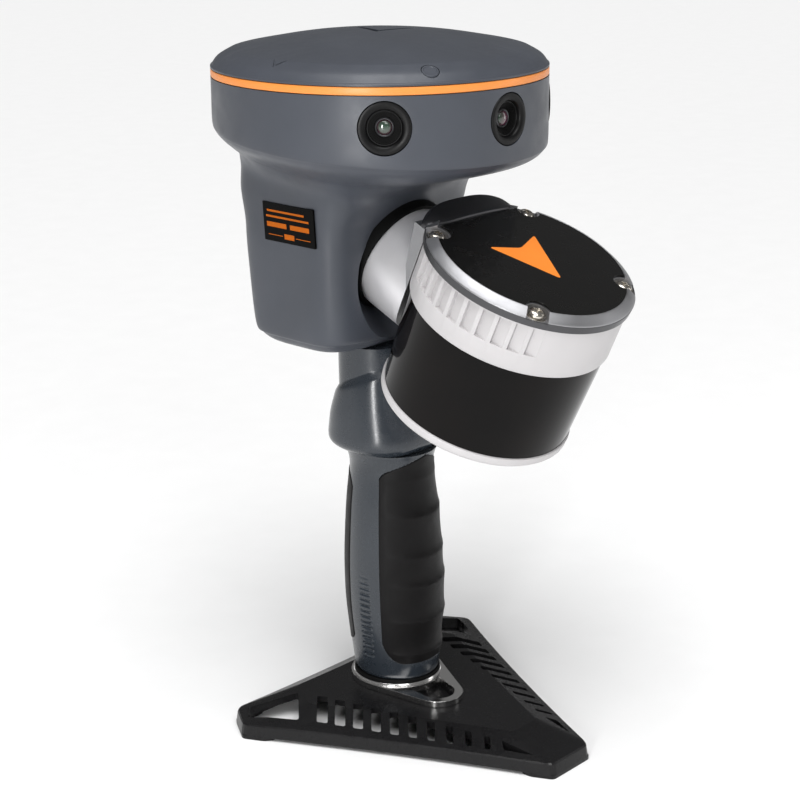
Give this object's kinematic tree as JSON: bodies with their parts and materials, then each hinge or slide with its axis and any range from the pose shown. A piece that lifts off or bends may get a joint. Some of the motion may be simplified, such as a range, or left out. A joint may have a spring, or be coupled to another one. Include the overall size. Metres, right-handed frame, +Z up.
{
  "type": "terrestrial laser scanner",
  "caption": "Handheld mapping scanner on a slotted tripod foot: round camera head with antenna dome, straight rubber grip and a tilted spinning laser sensor on an arm.",
  "frame": {"origin": "on the floor under the centre of the object's bounding box", "axes": "+Z up through the handle, the laser sensor faces -Y, X = 0 is the plane of symmetry"},
  "size_m": [0.1778, 0.2249, 0.3525],
  "materials": {
    "slate_plastic": "satin fine-grained moulding",
    "orange_plastic": "satin",
    "black_plastic": "satin moulding",
    "rubber": "matt",
    "silver_metal": "brushed",
    "chrome": "polished",
    "steel": "plated",
    "white_paint": "satin white paint",
    "window_glass": "polished dark window",
    "lens_glass": "coated lens",
    "circuit_board": "solder mask",
    "ceramic": "fired ceramic",
    "label_black": "satin print"
  },
  "bodies": {
    "scanner": {"antenna_dome": "slate_plastic", "antenna_element": "ceramic", "antenna_ground_plane": "steel", "arm_seal": "rubber", "base_gasket": "rubber", "base_insert": "steel", "battery_pack": "black_plastic", "button_bezel": "black_plastic", "cable_cover": "black_plastic", "camera_front_barrel": "black_plastic", "camera_front_bezel": "black_plastic", "camera_front_lens": "lens_glass", "camera_left_barrel": "black_plastic", "camera_left_bezel": "black_plastic", "camera_left_lens": "lens_glass", "camera_right_barrel": "black_plastic", "camera_right_bezel": "black_plastic", "camera_right_lens": "lens_glass", "contact_board": "circuit_board", "foot_pad_front": "rubber", "foot_pad_left": "rubber", "foot_pad_right": "rubber", "front_grip": "rubber", "handle_shell": "slate_plastic", "indicator_lens": "white_paint", "inertial_unit": "black_plastic", "label_plate": "label_black", "lanyard_ring": "chrome", "lidar_base": "white_paint", "lidar_board": "circuit_board", "lidar_fin_ring": "white_paint", "lidar_spindle": "steel", "lidar_window": "window_glass", "main_board": "circuit_board", "main_housing": "slate_plastic", "neck_shell": "slate_plastic", "plate_inlay": "label_black", "port_socket": "steel", "power_board": "circuit_board", "processor_heatsink": "silver_metal", "rear_grip": "rubber", "sensor_bracket": "silver_metal", "sensor_screw_1": "steel", "sensor_screw_2": "steel", "sensor_screw_3": "steel", "sensor_screw_4": "steel", "stand_plate": "black_plastic", "storage_drive": "black_plastic", "trim_band": "orange_plastic", "vent_plug": "slate_plastic"},
    "lidar_rotor": {"lidar_rotor": "silver_metal", "rotor_bearing_upper": "steel", "rotor_bearing_lower": "steel", "emitter_lens": "lens_glass", "receiver_lens": "lens_glass"},
    "stand_screw": {"stand_screw": "steel"},
    "power_button": {"power_button": "orange_plastic"},
    "port_cover": {"port_cover": "rubber"}
  },
  "joints": [
    {"name": "rotor_spin", "type": "hinge", "parent": "scanner", "child": "lidar_rotor", "pos_m": [0, -0.06655, 0.2551], "axis": [0, -0.4067, 0.9135], "continuous": true},
    {"name": "screw_turn", "type": "hinge", "parent": "scanner", "child": "stand_screw", "pos_m": [0, 0.02195, 0.004], "axis": [0, 0, 1], "continuous": true},
    {"name": "button_press", "type": "slide", "parent": "scanner", "child": "power_button", "axis": [0, -1, 0], "range_m": [0, 0.0012], "stiffness_N_per_m": 900},
    {"name": "port_cover_hinge", "type": "hinge", "parent": "scanner", "child": "port_cover", "pos_m": [0, 0.08355, 0.2346], "axis": [1, 0, 0], "range_deg": [0, 95]}
  ]
}
